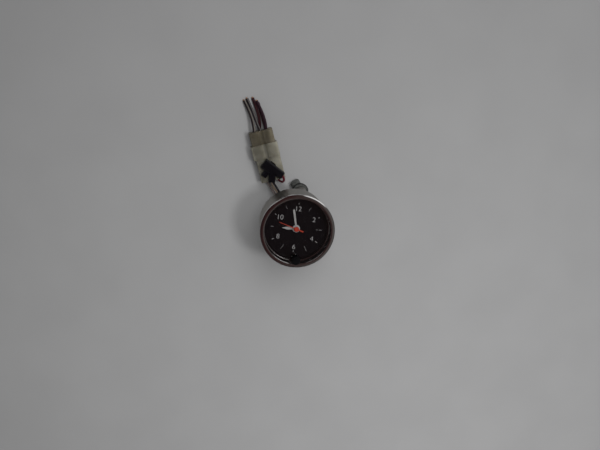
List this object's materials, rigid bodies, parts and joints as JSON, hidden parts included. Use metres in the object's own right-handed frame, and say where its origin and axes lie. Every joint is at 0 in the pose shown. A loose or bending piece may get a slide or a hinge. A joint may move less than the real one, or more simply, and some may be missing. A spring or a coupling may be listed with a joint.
{
  "type": "car dashboard clock",
  "caption": "Round quartz dashboard clock: chrome bezel, black dial, three hands and a push-and-turn setting knob, in a steel can with rear studs, lamp holder and a cut wiring plug.",
  "frame": {"origin": "on the clock's axis in the plane of the bezel's rear face, where the clock meets the dashboard", "axes": "+Z out of the dial along the clock's axis, +Y to twelve o'clock, +X to three o'clock"},
  "size_m": [0.0757, 0.1198, 0.0643],
  "materials": {
    "chrome": "bright plated",
    "clear_glass": "polished, clear",
    "black_rubber": "matt",
    "black_dial": "matt printed",
    "zinc_steel": "dull zinc plate",
    "white_plastic": "moulded",
    "brass": "satin",
    "bright_steel": "plated",
    "board_green": "lacquered board",
    "black_plastic": "moulded",
    "dark_iron": "bare",
    "copper_winding": "enamelled copper wire",
    "white_paint": "satin paint",
    "orange_paint": "satin paint",
    "orange_plastic": "moulded",
    "grey_plastic": "moulded",
    "bulb_glass": "clear",
    "black_insulation": "wire insulation",
    "beige_insulation": "wire insulation",
    "grey_insulation": "wire insulation",
    "red_insulation": "wire insulation",
    "brown_insulation": "wire insulation",
    "purple_insulation": "wire insulation",
    "white_insulation": "wire insulation",
    "ivory_nylon": "translucent moulded nylon"
  },
  "bodies": {
    "case": {"bezel": "chrome", "lens": "clear_glass", "lens_gasket": "black_rubber", "reflector_ring": "chrome", "dial": "black_dial", "can": "zinc_steel", "movement_ring": "white_plastic", "front_plate": "brass", "back_plate": "brass", "plate_pillars": "brass", "board_spacers": "brass", "plate_screws": "bright_steel", "circuit_board": "board_green", "board_parts": "black_plastic", "quartz_crystal": "bright_steel", "motor_stator": "dark_iron", "motor_coil": "copper_winding", "stem_bush": "brass", "return_spring": "bright_steel", "fixing_studs": "bright_steel", "lamp_tube": "zinc_steel", "lamp_washer": "black_rubber", "lamp_holder": "grey_plastic", "lamp_bulb": "bulb_glass", "lead_grommet": "black_rubber", "lead_black": "black_insulation", "lead_beige": "beige_insulation", "lead_grey": "grey_insulation", "loop_red": "red_insulation", "connector_receptacle": "ivory_nylon", "connector_plug": "ivory_nylon", "connector_contacts": "bright_steel", "wire_splice": "black_plastic", "tail_white": "white_insulation", "tail_black": "black_insulation", "tail_brown": "brown_insulation", "tail_red": "red_insulation", "tail_purple": "purple_insulation"},
    "second_arbor": {"second_wheel": "brass", "second_hand": "orange_paint", "hand_cap": "orange_plastic"},
    "third_arbor": {"third_wheel": "brass"},
    "minute_arbor": {"centre_wheel": "brass", "minute_hand": "white_paint"},
    "motion_wheel": {"minute_wheel": "brass"},
    "hour_pipe": {"hour_wheel": "brass", "hour_hand": "white_paint"},
    "rotor": {"motor_rotor": "dark_iron"},
    "idler": {"setting_idler": "brass"},
    "collar": {"spring_collar": "bright_steel"},
    "stem": {"setting_stem": "bright_steel", "setting_pinion": "brass", "setting_knob": "black_plastic"}
  },
  "joints": [
    {"name": "second_hand_turn", "type": "hinge", "parent": "case", "child": "second_arbor", "pos_m": [0, 0, 0], "axis": [0, 0, -1], "continuous": true},
    {"name": "rotor_turn", "type": "hinge", "parent": "case", "child": "rotor", "pos_m": [0.00724, 0.00263, 0], "axis": [0, 0, -1], "continuous": true},
    {"name": "third_wheel_turn", "type": "hinge", "parent": "case", "child": "third_arbor", "pos_m": [-0.00648, 0.00374, 0], "axis": [0, 0, -1], "continuous": true},
    {"name": "minute_hand_turn", "type": "hinge", "parent": "case", "child": "minute_arbor", "pos_m": [0, 0, 0], "axis": [0, 0, -1], "continuous": true},
    {"name": "minute_wheel_turn", "type": "hinge", "parent": "case", "child": "motion_wheel", "pos_m": [0.00021, -0.006, 0], "axis": [0, 0, -1], "continuous": true},
    {"name": "hour_hand_turn", "type": "hinge", "parent": "case", "child": "hour_pipe", "pos_m": [0, 0, 0], "axis": [0, 0, -1], "continuous": true},
    {"name": "idler_turn", "type": "hinge", "parent": "case", "child": "idler", "pos_m": [0.0005, -0.01439, 0], "axis": [0, 0, -1], "continuous": true},
    {"name": "knob_push", "type": "slide", "parent": "case", "child": "collar", "axis": [0, 0, -1], "range_m": [0, 0.0018], "stiffness_N_per_m": 500, "springref_m": -0.0012, "deforming": ["return_spring"]},
    {"name": "knob_turn", "type": "hinge", "parent": "collar", "child": "stem", "pos_m": [0.00074, -0.02129, 0], "axis": [0, 0, -1], "continuous": true}
  ],
  "couplings": [
    {"joint": "rotor_turn", "follows": "second_hand_turn", "ratio": -6},
    {"joint": "third_wheel_turn", "follows": "second_hand_turn", "ratio": -0.13333},
    {"joint": "minute_hand_turn", "follows": "second_hand_turn", "ratio": 0.016667},
    {"joint": "minute_wheel_turn", "follows": "second_hand_turn", "ratio": -0.0055556},
    {"joint": "hour_hand_turn", "follows": "second_hand_turn", "ratio": 0.0013889},
    {"joint": "idler_turn", "follows": "second_hand_turn", "ratio": 0.0064103}
  ]
}
